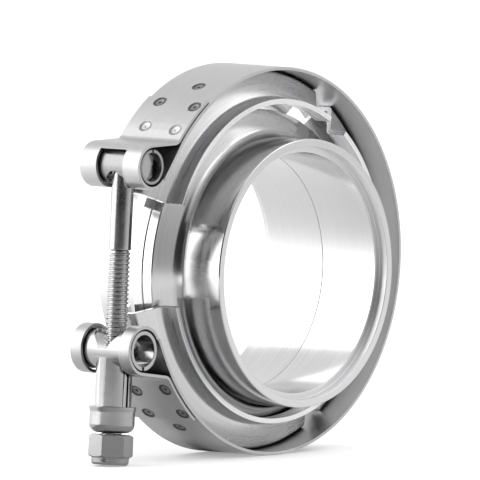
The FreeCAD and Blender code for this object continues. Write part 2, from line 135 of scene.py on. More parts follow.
# Vertices nearer to each other than MERGE become one. Those nearer to a cutting plane than
# ON_PLANE count as on it.
MERGE = 0.0005
ON_PLANE = 0.0001


def lean():
    """How far the clamp leans about Y so that the nut's foot and the band share one floor."""
    foot_x = -BOLT_X - COLLAR_RADIUS + COLLAR_CHAMFER
    reach = math.hypot(foot_x, NUT_FOOT_Z)
    return math.acos(BAND_OUTSIDE / reach) - math.atan2(foot_x, -NUT_FOOT_Z)


LEAN = lean()
TO_METRES = Matrix.Scale(0.001, 4)
# The flanges are about the frame's origin, and lie low in the loose band.
BAND_CENTRE = (0, 0, FLANGE_DROP / 1000)
ON_FLOOR = Matrix.Translation(BAND_CENTRE) @ Matrix.Rotation(LEAN, 4, "Y") @ TO_METRES
BOLT_CENTRE = tuple(ON_FLOOR @ Vector((BOLT_X, 0, 0)))


def deselect():
    if bpy.context.object and bpy.context.object.mode != "OBJECT":
        bpy.ops.object.mode_set(mode="OBJECT")
    bpy.ops.object.select_all(action="DESELECT")


def choose(piece):
    deselect()
    piece.select_set(True)
    bpy.context.view_layer.objects.active = piece


def name_it(name):
    piece = bpy.context.object
    piece.name = name
    piece.data.name = name
    return piece


def keep_place():
    """Moves the new piece's place, turn and scale into its mesh."""
    bpy.ops.object.transform_apply(location=True, rotation=True, scale=True)


def edit_all(piece):
    choose(piece)
    bpy.ops.object.mode_set(mode="EDIT")
    bpy.ops.mesh.select_all(action="SELECT")


def leave_edit():
    bpy.ops.object.mode_set(mode="OBJECT")


def apply_all(piece):
    choose(piece)
    for modifier in list(piece.modifiers):
        bpy.ops.object.modifier_apply(modifier=modifier.name)


def join_all(pieces):
    deselect()
    for piece in pieces:
        piece.select_set(True)
    bpy.context.view_layer.objects.active = pieces[0]
    bpy.ops.object.join()
    return bpy.context.object


def cut(piece, tool):
    modifier = piece.modifiers.new("cut", "BOOLEAN")
    modifier.operation = "DIFFERENCE"
    modifier.solver = "EXACT"
    modifier.material_mode = "TRANSFER"
    modifier.object = tool
    apply_all(piece)
    bpy.data.objects.remove(tool)


def weld_on(piece, other):
    modifier = piece.modifiers.new("joined", "BOOLEAN")
    modifier.operation = "UNION"
    modifier.solver = "EXACT"
    modifier.object = other
    apply_all(piece)
    bpy.data.objects.remove(other)


def rod(name, radius, length, centre, across=False, sides=96):
    """A plain cylinder that stands up, or lies along Y."""
    deselect()
    bpy.ops.mesh.primitive_cylinder_add(
        vertices=sides,
        radius=radius,
        depth=length,
        location=centre,
        rotation=(math.radians(90) if across else 0, 0, 0),
    )
    made = name_it(name)
    keep_place()
    return made


def slab(name, low, high):
    deselect()
    middle = [(a + b) / 2 for a, b in zip(low, high)]
    bpy.ops.mesh.primitive_cube_add(size=1, location=middle)
    made = name_it(name)
    made.scale = [b - a for a, b in zip(low, high)]
    keep_place()
    return made


def ball(name, radius, rings):
    deselect()
    bpy.ops.mesh.primitive_uv_sphere_add(
        segments=32, ring_count=rings, radius=radius, location=(0, 0, 0)
    )
    return name_it(name)


def trim(piece, place, facing):
    """Cuts off what lies beyond a plane and closes the cut."""
    edit_all(piece)
    bpy.ops.mesh.bisect(
        plane_co=place, plane_no=facing, use_fill=True, clear_outer=True, threshold=ON_PLANE
    )
    leave_edit()


def ease_edges(piece, width, segments=2, angle=35):
    modifier = piece.modifiers.new("eased edges", "BEVEL")
    modifier.width = width
    modifier.segments = segments
    modifier.limit_method = "ANGLE"
    modifier.angle_limit = math.radians(angle)
    modifier.use_clamp_overlap = False
    modifier.harden_normals = False
    apply_all(piece)


def smooth(piece):
    """Smooth shading in which the large faces stay true and their small edges take the turn."""
    choose(piece)
    bpy.ops.object.shade_smooth_by_angle(angle=math.radians(30))
    modifier = piece.modifiers.new("true faces", "WEIGHTED_NORMAL")
    modifier.keep_sharp = True
    apply_all(piece)


def upright_copy(node, name):
    """A merged copy of a CAD node, in millimetres and upright on the clamp's own axis."""
    piece = bpy.data.objects.new(name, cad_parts[node].data.copy())
    bpy.context.scene.collection.objects.link(piece)
    piece.data.name = name
    piece.data.materials.clear()
    piece.data.transform(ON_FLOOR.inverted())
    edit_all(piece)
    bpy.ops.mesh.customdata_custom_splitnormals_clear()
    bpy.ops.mesh.remove_doubles(threshold=MERGE)
    bpy.ops.mesh.dissolve_limited(angle_limit=math.radians(0.2))
    leave_edit()
    return piece


def set_down(piece):
    """Back from upright millimetres to metres on the floor."""
    piece.data.transform(ON_FLOOR)
    piece.data.update()


def round_the_clamp(angle, radius):
    """A point at an angle from the back, positive upwards, with the clamp upright."""
    turn = math.radians(angle)
    return Vector((radius * math.cos(turn), 0, radius * math.sin(turn)))


def paint(piece, material):
    piece.data.materials.clear()
    piece.data.materials.append(material)


class Finish:
    """A metal made of nodes."""

    def __init__(self, name):
        self.material = bpy.data.materials.new(name)
        self.material.use_nodes = True
        self.tree = self.material.node_tree
        self.shader = self.tree.nodes["Principled BSDF"]
        self.shader.inputs["Metallic"].default_value = 1.0

    def link(self, output, socket):
        self.tree.links.new(output, socket)

    def feed(self, socket, value):
        if isinstance(value, bpy.types.NodeSocket):
            self.link(value, socket)
        else:
            socket.default_value = value

    def math(self, operation, first, second):
        made = self.tree.nodes.new("ShaderNodeMath")
        made.operation = operation
        self.feed(made.inputs[0], first)
        self.feed(made.inputs[1], second)
        return made.outputs[0]

    def vector_math(self, operation, first):
        made = self.tree.nodes.new("ShaderNodeVectorMath")
        made.operation = operation
        self.link(first, made.inputs[0])
        return made

    def place(self, centre, tilt=0.0):
        """Object coordinates about a point, turned so that the bolt's line is upright."""
        coordinates = self.tree.nodes.new("ShaderNodeTexCoord").outputs["Object"]
        mapping = self.tree.nodes.new("ShaderNodeMapping")
        mapping.vector_type = "TEXTURE"
        mapping.inputs["Location"].default_value = centre
        mapping.inputs["Rotation"].default_value = (0, tilt, 0)
        self.link(coordinates, mapping.inputs["Vector"])
        return mapping.outputs[0]

    def round_axis(self, vector, axis, across, along):
        """Coordinates for lines that run round an axis: fast across them, slow along them."""
        split = self.tree.nodes.new("ShaderNodeSeparateXYZ")
        self.link(vector, split.inputs["Vector"])
        parts = split.outputs
        flat = self.tree.nodes.new("ShaderNodeCombineXYZ")
        for name in "XYZ":
            if name != axis:
                self.link(parts[name], flat.inputs[name])
        length = self.vector_math("LENGTH", flat.outputs[0])
        direction = self.vector_math("NORMALIZE", flat.outputs[0])
        slow = self.vector_math("SCALE", direction.outputs[0])
        slow.inputs["Scale"].default_value = along
        fast = self.tree.nodes.new("ShaderNodeCombineXYZ")
        self.link(self.math("MULTIPLY", parts[axis], across), fast.inputs[axis])
        both = self.vector_math("ADD", slow.outputs[0])
        self.link(fast.outputs[0], both.inputs[1])
        return both.outputs[0], self.math("MULTIPLY", length.outputs["Value"], across)

    def noise(self, vector, scale, detail, w=None):
        made = self.tree.nodes.new("ShaderNodeTexNoise")
        made.noise_dimensions = "3D" if w is None else "4D"
        made.inputs["Scale"].default_value = scale
        made.inputs["Detail"].default_value = detail
        self.link(vector, made.inputs["Vector"])
        if w is not None:
            self.link(w, made.inputs["W"])
        return made.outputs["Fac"]

    def spread(self, value, low, high, start=0.3, end=0.7):
        made = self.tree.nodes.new("ShaderNodeMapRange")
        self.link(value, made.inputs["Value"])
        made.inputs["From Min"].default_value = start
        made.inputs["From Max"].default_value = end
        made.inputs["To Min"].default_value = low
        made.inputs["To Max"].default_value = high
        return made.outputs[0]

    def mixed(self, value, dark, light):
        made = self.tree.nodes.new("ShaderNodeMix")
        made.data_type = "RGBA"
        self.link(value, made.inputs["Factor"])
        self.feed(made.inputs["A"], dark)
        self.feed(made.inputs["B"], light)
        return made.outputs["Result"]

    def openness(self, reach):
        """1 in the open and less in corners and recesses, where shade falls; it darkens colours
        as painted shade.
        """
        made = self.tree.nodes.new("ShaderNodeAmbientOcclusion")
        made.samples = 8
        made.inputs["Distance"].default_value = reach
        return made.outputs["AO"]

    def colour(self, value):
        self.link(value, self.shader.inputs["Base Color"])

    def rough(self, value):
        self.link(value, self.shader.inputs["Roughness"])

    def bump(self, height, strength, distance):
        made = self.tree.nodes.new("ShaderNodeBump")
        made.inputs["Strength"].default_value = strength
        made.inputs["Distance"].default_value = distance
        self.link(height, made.inputs["Height"])
        self.link(made.outputs["Normal"], self.shader.inputs["Normal"])


def grey(level, cool=0.0):
    return (level, level, level + cool, 1)


def lined_steel(
    name, centre, axis, dark, light, rough, pitch, along, bump, tilt=0.0, cool=0.0, painted_shade=None
):
    """Bright steel with fine lines that run round an axis, as turning or rolling leaves them.

    pitch is the lines' distance in metres, and along says how often a line changes on its way
    round. The shade setting darkens the colour in corners and recesses as painted shade: its
    reach in metres, the openness at which it is full and gone, and its grey.
    """
    finish = Finish(name)
    place = finish.place(centre, tilt)
    vector, reach = finish.round_axis(place, axis, 1 / pitch, along)
    lines = finish.noise(vector, scale=1.0, detail=2.0, w=reach)
    cloud = finish.noise(place, scale=90.0, detail=3.0)
    steel = finish.mixed(finish.spread(lines, 0.0, 1.0), grey(dark, cool), grey(light, cool))
    # Painted shade: the colour turns to a dark grey where ambient occlusion finds corners and
    # recesses.
    if painted_shade:
        shade_reach, full, gone, shade_grey = painted_shade
        open_air = finish.spread(finish.openness(shade_reach), 0.0, 1.0, full, gone)
        steel = finish.mixed(open_air, grey(shade_grey), steel)
    finish.colour(steel)
    clouded = finish.spread(cloud, low=-0.03, high=0.05)
    finish.rough(finish.math("ADD", finish.spread(lines, *rough), clouded))
    finish.bump(lines, bump, distance=0.00002)
    return finish.material


# Some finishes below darken in their corners and recesses: painted shade, where shadow falls
# there.
band_steel = lined_steel(
    "rolled_band_steel",
    BAND_CENTRE,
    "Y",
    dark=0.51,
    light=0.56,
    rough=(0.32, 0.38),
    pitch=0.0005,
    along=5.0,
    bump=0.03,
    cool=0.005,
    painted_shade=(0.009, 0.06, 0.4, 0.22),
)
retainer_steel = lined_steel(
    "formed_retainer_steel",
    BAND_CENTRE,
    "Y",
    dark=0.76,
    light=0.90,
    rough=(0.22, 0.36),
    pitch=0.0007,
    along=2.5,
    bump=0.25,
    cool=0.005,
    painted_shade=(0.004, 0.1, 0.45, 0.12),
)
turned_steel = lined_steel(
    "turned_flange_steel",
    (0, 0, 0),
    "Y",
    dark=0.66,
    light=0.71,
    rough=(0.12, 0.17),
    pitch=0.0003,
    along=2.0,
    bump=0.03,
    cool=0.005,
    painted_shade=(0.0006, 0.35, 0.8, 0.08),
)
socket_steel = lined_steel(
    "bored_socket_steel",
    (0, 0, 0),
    "Y",
    dark=0.70,
    light=0.78,
    rough=(0.36, 0.44),
    pitch=0.0003,
    along=2.0,
    bump=0.05,
    cool=0.005,
)
bolt_steel = lined_steel(
    "bright_bolt_steel",
    BOLT_CENTRE,
    "Z",
    dark=0.42,
    light=0.48,
    rough=(0.18, 0.24),
    pitch=0.0006,
    along=2.0,
    bump=0.03,
    tilt=LEAN,
    cool=0.005,
)
# The sleeve's steel is darker than the bolt's: painted shade, for the shadow the band's loops
# cast on it.
shaded_sleeve_steel = lined_steel(
    "rolled_sleeve_steel_shaded",
    BOLT_CENTRE,
    "Y",
    dark=0.32,
    light=0.38,
    rough=(0.28, 0.34),
    pitch=0.0006,
    along=2.0,
    bump=0.04,
)
thread_steel = lined_steel(
    "rolled_thread_steel",
    BOLT_CENTRE,
    "Z",
    dark=0.50,
    light=0.58,
    rough=(0.22, 0.3),
    pitch=0.0006,
    along=2.0,
    bump=0.04,
    tilt=LEAN,
)
trunnion_steel = lined_steel(
    "folded_trunnion_steel",
    BOLT_CENTRE,
    "Z",
    dark=0.43,
    light=0.49,
    rough=(0.14, 0.2),
    pitch=0.0012,
    along=2.0,
    bump=0.02,
    tilt=LEAN,
    painted_shade=(0.006, 0.1, 0.5, 0.09),
)
cup_steel = lined_steel(
    "turned_cup_steel",
    BOLT_CENTRE,
    "Z",
    dark=0.41,
    light=0.48,
    rough=(0.2, 0.26),
    pitch=0.0004,
    along=2.0,
    bump=0.05,
    tilt=LEAN,
)
nut_steel = lined_steel(
    "turned_nut_steel",
    BOLT_CENTRE,
    "Z",
    dark=0.45,
    light=0.5,
    rough=(0.46, 0.52),
    pitch=0.0005,
    along=2.0,
    bump=0.03,
    tilt=LEAN,
)


def weld_finish(name, dark, light):
    """Steel that a spot weld has burnt or polished, with a fine grain."""
    finish = Finish(name)
    grain = finish.noise(finish.place((0, 0, 0)), scale=900.0, detail=4.0)
    finish.colour(finish.mixed(finish.spread(grain, 0.0, 1.0), dark, light))
    finish.rough(finish.spread(grain, low=0.3, high=0.48))
    finish.bump(grain, strength=0.25, distance=0.00004)
    return finish.material


weld_burn = weld_finish("spot_weld_burn", grey(0.06), grey(0.13))
weld_ring = weld_finish("spot_weld_ring", grey(0.22), grey(0.34, -0.005))
weld_shine = weld_finish("spot_weld_shine", grey(0.62), grey(0.74))

# Each spot weld's angle round the clamp, and how far it is from the middle towards the front.
TAIL_WELDS = [
    (128.2, -5.3),
    (129.4, 8.3),
    (222.7, -3.6),
    (221.5, 7.6),
    (232.1, -4.4),
    (231.5, 8.5),
]
SHINY_WELDS = [(138.4, -4.1), (139.1, 7.3)]
BAND_WELDS = [
    (117.6, 1.1),
    (88.2, 1.0),
    (28.2, 1.0),
    (240.6, 1.1),
    (275.0, 1.0),
    (320.0, 1.0),
    (352.0, 1.0),
]
# The rings of a weld from the outside in: radius, depth, and finish on dull and shiny welds.
WELD_RINGS = [
    (2.05, 0.26, weld_burn, weld_ring),
    (1.6, 0.34, weld_ring, weld_shine),
    (0.65, 0.5, weld_burn, weld_shine),
]


def weld_tools(below, above, size, depth, dull, shiny):
    """Coins that press one ring of each spot weld into the sheet, between two clamp angles."""
    made = []
    spots = [(*weld, TAIL_OUTSIDE, dull) for weld in TAIL_WELDS]
    spots += [(*weld, TAIL_OUTSIDE, shiny) for weld in SHINY_WELDS]
    spots += [(*weld, BAND_OUTSIDE, dull) for weld in BAND_WELDS]
    for angle, toward_front, radius, finish in spots:
        if not below <= angle < above:
            continue
        coin = ball("weld tool", size, rings=24)
        bpy.ops.transform.resize(value=(1, 1, depth / size))
        keep_place()
        outwards = round_the_clamp(angle, 1)
        place = outwards * radius + Vector((0, -toward_front, 0))
        turn = outwards.to_track_quat("Z", "Y").to_matrix().to_4x4()
        coin.data.transform(Matrix.Translation(place) @ turn)
        paint(coin, finish)
        made.append(coin)
    return join_all(made)


def band_half(name, upward, below, above):
    """One half of the band's strip, with its spot welds between two clamp angles pressed in."""
    half = upright_copy("outer_band", name)
    paint(half, band_steel)
    for ring in WELD_RINGS:
        cut(half, weld_tools(below, above, *ring))
    ease_edges(half, 0.14)
    trim(half, (0, 0, 0), (0, 0, -upward))
    smooth(half)
    set_down(half)
    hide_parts("outer_band")
    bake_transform(half)


def outer_band():
    band_half("band_upper_half", 1, 0, 180)
    band_half("band_lower_half", -1, 180, 360)


def retainer(node, name, body):
    piece = upright_copy(node, name)
    paint(piece, retainer_steel)
    ease_edges(piece, 0.18)
    smooth(piece)
    set_down(piece)
    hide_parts(node)
    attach(piece, body)


def rounded_outline(corners):
    """Points along a closed outline of (x, y, radius), each corner rounded to its radius."""
    degrees_per_step = 7
    points = []
    for index, (x, y, radius) in enumerate(corners):
        corner = Vector((x, y))
        into = (corner - Vector(corners[index - 1][:2])).normalized()
        out = (Vector(corners[(index + 1) % len(corners)][:2]) - corner).normalized()
        turn = into.angle(out)
        start = corner - into * radius * math.tan(turn / 2)
        left = Vector((-into.y, into.x))
        if left.dot(out) < 0:
            left = -left
        centre = start + left * radius
        steps = max(2, round(math.degrees(turn) / degrees_per_step))
        for step in range(steps + 1):
            angle = turn * step / steps
            points.append(
                centre - left * radius * math.cos(angle) + into * radius * math.sin(angle)
            )
    return points


def flange_outline(clearance, inwards):
    """The flange's section, with the tongue standing out of the joint or its groove cut in."""
    inner = BORE_RADIUS + TONGUE_INSET - clearance
    outer = BORE_RADIUS + TONGUE_INSET + TONGUE_WIDTH + clearance
    step = inwards * (TONGUE_HEIGHT + clearance)
    cone_foot = RIM_HALF_WIDTH + RIM_HEIGHT * math.tan(math.radians(CONE_ANGLE))
    joint_edge, bore_edge, step_edge, outer_edge, rim_edge = 0.12, 0.2, 0.25, 0.4, 0.45
    return rounded_outline(
        [
            (BORE_RADIUS, 0, bore_edge),
            (inner, 0, joint_edge),
            (inner, step, joint_edge),
            (outer, step, joint_edge),
            (outer, 0, joint_edge),
            (RIM_RADIUS, 0, outer_edge),
            (RIM_RADIUS, RIM_HALF_WIDTH, rim_edge),
            (STUB_RADIUS, cone_foot, NECK_FILLET),
            (STUB_RADIUS, STUB_LENGTH, outer_edge),
            (SOCKET_RADIUS, STUB_LENGTH, bore_edge),
            (SOCKET_RADIUS, SOCKET_STEP, bore_edge),
            (BORE_RADIUS, SOCKET_STEP, step_edge),
        ]
    )


def coarser_socket(flange):
    """Gives the bored socket and its step the coarser finish that boring leaves."""
    margin = 0.1
    flange.data.materials.append(socket_steel)
    for face in flange.data.polygons:
        reach = math.hypot(face.center.x, face.center.z)
        inside = reach < SOCKET_RADIUS + margin
        if inside and abs(face.center.y) > SOCKET_STEP - margin:
            face.material_index = 1


def turned_flange(node, name, toward, outline):
    """A weld flange turned in one piece: rim, neck, stub, socket and bore."""
    deselect()
    bpy.ops.mesh.primitive_circle_add(vertices=len(outline), radius=1)
    flange = name_it(name)
    for vertex, point in zip(flange.data.vertices, outline):
        vertex.co = (point.x, toward * point.y, 0)
    turning = flange.modifiers.new("turned", "SCREW")
    turning.axis = "Y"
    turning.angle = math.radians(360)
    turning.steps = 200
    turning.render_steps = 200
    turning.use_merge_vertices = True
    turning.merge_threshold = MERGE
    apply_all(flange)
    edit_all(flange)
    bpy.ops.mesh.remove_doubles(threshold=MERGE)
    bpy.ops.mesh.normals_make_consistent(inside=False)
    leave_edit()
    paint(flange, turned_steel)
    coarser_socket(flange)
    smooth(flange)
    flange.data.transform(TO_METRES)
    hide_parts(node)
    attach(flange, "flanges")


def weld_flanges():
    tongue = flange_outline(clearance=0.0, inwards=-1)
    groove = flange_outline(clearance=TONGUE_CLEARANCE, inwards=1)
    turned_flange("front_flange", "front_turned_flange", -1, tongue)
    turned_flange("rear_flange", "rear_turned_flange", 1, groove)


def head_sleeve():
    """The sheet rolled round the bolt's head, with its slit on top and the shank's hole below."""
    sleeve = rod("rolled_head_sleeve", SLEEVE_RADIUS, SLEEVE_LENGTH, UPPER_LOOP, across=True)
    hollow_radius = SLEEVE_RADIUS - SLEEVE_SHEET
    cut(sleeve, rod("hollow", hollow_radius, SLEEVE_LENGTH + SPARE, UPPER_LOOP, across=True))
    hole_middle = (BOLT_X, 0, UPPER_LOOP_Z - SPARE / 2)
    cut(sleeve, rod("shank hole", SHANK_HOLE_RADIUS, SPARE, hole_middle))
    slit_low = (BOLT_X - SLEEVE_SLIT / 2, -SLEEVE_LENGTH, UPPER_LOOP_Z)
    slit_high = (BOLT_X + SLEEVE_SLIT / 2, SLEEVE_LENGTH, UPPER_LOOP_Z + SPARE)
    cut(sleeve, slab("slit", slit_low, slit_high))
    paint(sleeve, shaded_sleeve_steel)
    ease_edges(sleeve, 0.15)
    smooth(sleeve)
    set_down(sleeve)
    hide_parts("t_bolt_sleeve")
    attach(sleeve, "t_bolt")


def soften_bend(trunnion):
    """Rounds the inside corner where the sheet turns from the tube down into the stem."""
    edit_all(trunnion)
    bpy.ops.mesh.select_mode(type="EDGE")
    bpy.ops.mesh.select_all(action="DESELECT")
    leave_edit()
    close = 0.02
    bend_top = LOWER_LOOP_Z - 2.4
    on_bend = set()
    for vertex in trunnion.data.vertices:
        x, y, z = vertex.co
        from_tube = abs(math.hypot(x - BOLT_X, z - LOWER_LOOP_Z) - TUBE_RADIUS)
        from_stem = abs(math.hypot(x - BOLT_X, y) - STEM_RADIUS)
        if from_tube < close and from_stem < close and z < bend_top:
            on_bend.add(vertex.index)
    for edge in trunnion.data.edges:
        edge.select = edge.vertices[0] in on_bend and edge.vertices[1] in on_bend
    bpy.ops.object.mode_set(mode="EDIT")
    bpy.ops.mesh.bevel(offset=0.8, segments=4, profile=0.5, clamp_overlap=True)
    leave_edit()


def cross_tube_and_stem():
    """The trunnion as a solid: a tube across with a stem down, cut to their lengths."""
    trunnion = rod("folded_trunnion", TUBE_RADIUS, TUBE_LENGTH + SPARE, LOWER_LOOP, across=True)
    middle = (BOLT_X, 0, (LOWER_LOOP_Z + STEM_FOOT_Z - SPARE) / 2)
    weld_on(trunnion, rod("stem", STEM_RADIUS, STEM_LENGTH + SPARE, middle))
    trim(trunnion, (0, TUBE_LENGTH / 2, 0), (0, 1, 0))
    trim(trunnion, (0, -TUBE_LENGTH / 2, 0), (0, -1, 0))
    trim(trunnion, (0, 0, STEM_FOOT_Z), (0, 0, -1))
    return trunnion


def trunnion_window(tube_low):
    """A wedge that opens the stem's seam to a small window below the tube."""
    half_width, half_depth = WINDOW_WIDTH / 2, 8
    overlap, pinch = 0.05, 0.03
    low = (BOLT_X - half_width, -half_depth, tube_low - WINDOW_HEIGHT)
    high = (BOLT_X + half_width, half_depth, tube_low + overlap)
    window = slab("window", low, high)
    for vertex in window.data.vertices:
        if vertex.co.z < tube_low - WINDOW_HEIGHT / 2:
            vertex.co.x = BOLT_X + pinch * (vertex.co.x - BOLT_X)
    return window


def seam(name, width, low, high):
    """A slit that parts the sheet's two edges, right through the trunnion."""
    reach = TUBE_LENGTH / 2 + SPARE
    return slab(name, (BOLT_X - width / 2, -reach, low), (BOLT_X + width / 2, reach, high))


def folded_trunnion():
    """The tube in the lower loop and its stem, with a soft bend where the sheet turns down."""
    tube_low = LOWER_LOOP_Z - TUBE_RADIUS
    trunnion = cross_tube_and_stem()
    hollow_radius = TUBE_RADIUS - TRUNNION_SHEET
    cut(trunnion, rod("tube hollow", hollow_radius, TUBE_LENGTH + SPARE, LOWER_LOOP, across=True))
    hole_radius = STEM_RADIUS - TRUNNION_SHEET
    cut(trunnion, rod("bolt hole", hole_radius, 2 * (STEM_LENGTH + SPARE), LOWER_LOOP))
    mouth_middle = (BOLT_X, 0, LOWER_LOOP_Z + MOUTH_HEIGHT + SPARE / 2)
    cut(trunnion, rod("mouth", MOUTH_RADIUS, SPARE, mouth_middle))
    cut(trunnion, trunnion_window(tube_low))
    cut(trunnion, seam("tube seam", TUBE_SEAM, tube_low - 1, tube_low + 2 * TRUNNION_SHEET))
    cut(trunnion, seam("stem seam", STEM_SEAM, STEM_FOOT_Z - 1, tube_low + 1))
    soften_bend(trunnion)
    paint(trunnion, trunnion_steel)
    ease_edges(trunnion, 0.18, segments=3, angle=50)
    smooth(trunnion)
    set_down(trunnion)
    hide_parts("trunnion")
    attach(trunnion, "trunnion")


def stem_cup():
    cup = upright_copy("stem_cup", "turned_stem_cup")
    paint(cup, cup_steel)
    ease_edges(cup, 0.12)
    smooth(cup)
    set_down(cup)
    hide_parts("stem_cup")
    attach(cup, "trunnion")


CRIMP_ANGLES = (82.3, 202.3, 322.3)
CRIMP_HEIGHT = 1.3
CRIMP_STAND_OFF = 0.2


def crimp(nut, angle):
    """One of the three dents that squeeze the nut's collar on to the thread."""
    punch = ball("crimping punch", 1, rings=16)
    punch.scale = (0.75, 1.15, 0.55)
    keep_place()
    paint(punch, nut_steel)
    punch.data.transform(
        Matrix.Translation((BOLT_X, 0, NUT_FOOT_Z + CRIMP_HEIGHT))
        @ Matrix.Rotation(math.radians(angle), 4, "Z")
        @ Matrix.Translation((COLLAR_RADIUS + CRIMP_STAND_OFF, 0, 0))
    )
    cut(nut, punch)


def lock_nut():
    nut = upright_copy("lock_nut", "crimped_lock_nut")
    paint(nut, nut_steel)
    ease_edges(nut, 0.2, segments=3)
    for angle in CRIMP_ANGLES:
        crimp(nut, angle)
    smooth(nut)
    set_down(nut)
    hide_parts("lock_nut")
    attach(nut, "nut")


def plain_bolt():
    """The head with its two flats, and the plain part of the shank."""
    head_length = SLEEVE_LENGTH - 2 * HEAD_INSET
    bolt = rod("threaded_t_bolt", HEAD_RADIUS, head_length, UPPER_LOOP, across=True)
    for side in (-1, 1):
        flat = BOLT_X + side * HEAD_FLAT_WIDTH / 2
        low, high = sorted((flat, flat + side * SPARE))
        corners = (low, -SPARE, UPPER_LOOP_Z - SPARE), (high, SPARE, UPPER_LOOP_Z + SPARE)
        cut(bolt, slab("flat", *corners))
    middle = (BOLT_X, 0, SHANK_END_Z + PLAIN_LENGTH / 2)
    weld_on(bolt, rod("shank", SHANK_RADIUS, PLAIN_LENGTH, middle))
    ease_edges(bolt, 0.2, segments=3)
    paint(bolt, bolt_steel)
    return bolt


def thread_core():
    """The threaded part of the shank without its ridge, rounded at the end."""
    core_radius = 2.68
    middle = (BOLT_X, 0, (SHANK_END_Z + BOLT_END_Z) / 2)
    core = rod("thread core", core_radius, SHANK_END_Z - BOLT_END_Z, middle, sides=48)
    ease_edges(core, 0.5, segments=3)
    paint(core, thread_steel)
    return core


def thread_ridge():
    """One ridge wound round the core at the thread's pitch."""
    root, crest = 2.6, 3.14
    half_root, half_crest = 0.56, 0.1
    plain_end = 0.3
    deselect()
    bpy.ops.mesh.primitive_plane_add(size=1, location=(0, 0, 0))
    ridge = name_it("thread ridge")
    section = [(root, -half_root), (crest, -half_crest), (crest, half_crest), (root, half_root)]
    in_turn = sorted(ridge.data.vertices, key=lambda corner: math.atan2(corner.co.y, corner.co.x))
    for vertex, (radius, height) in zip(in_turn, section):
        vertex.co = (radius, 0, BOLT_END_Z + plain_end + PITCH / 2 + height)
    screw = ridge.modifiers.new("thread", "SCREW")
    screw.axis = "Z"
    screw.angle = math.radians(360)
    screw.screw_offset = PITCH
    screw.iterations = int((SHANK_END_Z - BOLT_END_Z - 2 * plain_end) / PITCH)
    screw.steps = 28
    screw.render_steps = 28
    screw.use_merge_vertices = True
    screw.merge_threshold = 0.001
    apply_all(ridge)
    ridge.data.transform(Matrix.Translation((BOLT_X, 0, 0)))
    edit_all(ridge)
    bpy.ops.mesh.normals_make_consistent(inside=False)
    leave_edit()
    paint(ridge, thread_steel)
    return ridge


def threaded_bolt():
    bolt = join_all([plain_bolt(), thread_core(), thread_ridge()])
    smooth(bolt)
    set_down(bolt)
    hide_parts("t_bolt")
    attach(bolt, "t_bolt")


def backdrop_strength(tree, quiet, mirrored, seen):
    """One strength for matt surfaces, one for metal and glass, and one for the camera."""
    path = tree.nodes.new("ShaderNodeLightPath")
    shiny = tree.nodes.new("ShaderNodeMath")
    shiny.operation = "MAXIMUM"
    tree.links.new(path.outputs["Is Glossy Ray"], shiny.inputs[0])
    tree.links.new(path.outputs["Is Transmission Ray"], shiny.inputs[1])
    strength = quiet
    for flag, amount in ((shiny.outputs[0], mirrored), (path.outputs["Is Camera Ray"], seen)):
        chosen = tree.nodes.new("ShaderNodeMapRange")
        tree.links.new(flag, chosen.inputs["Value"])
        for name, value in (("To Min", strength), ("To Max", amount)):
            if isinstance(value, float):
                chosen.inputs[name].default_value = value
            else:
                tree.links.new(value, chosen.inputs[name])
        strength = chosen.outputs[0]
    return strength


def painted_glow_further_out(tree, near, far):
    """The sweep of paper glows brighter from the object towards the lamp at the back left:
    painted light, which only metal and glass see.
    """
    toward_lamp = (-0.574, 0.819, 0)
    place = tree.nodes.new("ShaderNodeTexCoord")
    reach = tree.nodes.new("ShaderNodeVectorMath")
    reach.operation = "DOT_PRODUCT"
    reach.inputs[1].default_value = toward_lamp
    tree.links.new(place.outputs["Object"], reach.inputs[0])
    rise = tree.nodes.new("ShaderNodeMapRange")
    rise.interpolation_type = "SMOOTHSTEP"
    rise.inputs["From Min"].default_value = 0.06
    rise.inputs["From Max"].default_value = 0.24
    rise.inputs["To Min"].default_value = near
    rise.inputs["To Max"].default_value = far
    tree.links.new(reach.outputs["Value"], rise.inputs["Value"])
    return rise.outputs[0]


def studio(floor_height):
    """White surroundings, and a floor of white paper that takes the object's shadow."""
    world = bpy.data.worlds.new("studio")
    bpy.context.scene.world = world
    world.use_nodes = True
    sky = world.node_tree.nodes["Background"]
    sky.inputs["Color"].default_value = grey(1)
    strength = backdrop_strength(world.node_tree, quiet=0.8, mirrored=0.95, seen=1.0)
    world.node_tree.links.new(strength, sky.inputs["Strength"])

    deselect()
    bpy.ops.mesh.primitive_plane_add(size=6, location=(0, 0, floor_height))
    floor = name_it("floor")
    keep_place()
    paper = bpy.data.materials.new("white_paper")
    paper.use_nodes = True
    tree = paper.node_tree
    shader = tree.nodes["Principled BSDF"]
    shader.inputs["Base Color"].default_value = grey(0.88)
    shader.inputs["Roughness"].default_value = 0.9
    shader.inputs["Specular IOR Level"].default_value = 0.0
    shader.inputs["Emission Color"].default_value = grey(1)
    # Painted light on the paper for reflections: a glow that rises towards the lamp.
    mirrored = painted_glow_further_out(tree, near=0.0, far=0.5)
    strength = backdrop_strength(tree, quiet=0.0, mirrored=mirrored, seen=0.3)
    tree.links.new(strength, shader.inputs["Emission Strength"])
    floor.data.materials.append(paper)


def lamp(name, direction, distance, wide, high, power):
    """A soft box that shines at the middle of the band."""
    data = bpy.data.lights.new(name, "AREA")
    data.shape = "RECTANGLE"
    data.size = wide
    data.size_y = high
    data.energy = power
    made = bpy.data.objects.new(name, data)
    bpy.context.scene.collection.objects.link(made)
    away = distance * Vector(direction)
    made.location = Vector(BAND_CENTRE) + away
    made.rotation_mode = "QUATERNION"
    made.rotation_quaternion = (-away).to_track_quat("-Z", "Y")
    made.visible_camera = False


AZIMUTH = math.radians(-50.01)
ELEVATION = math.radians(4.71)
TO_RIGHT = Vector((math.cos(AZIMUTH), math.sin(AZIMUTH), 0))
TO_CAMERA = Vector(
    (
        math.sin(AZIMUTH) * math.cos(ELEVATION),
        -math.cos(AZIMUTH) * math.cos(ELEVATION),
        math.sin(ELEVATION),
    )
)


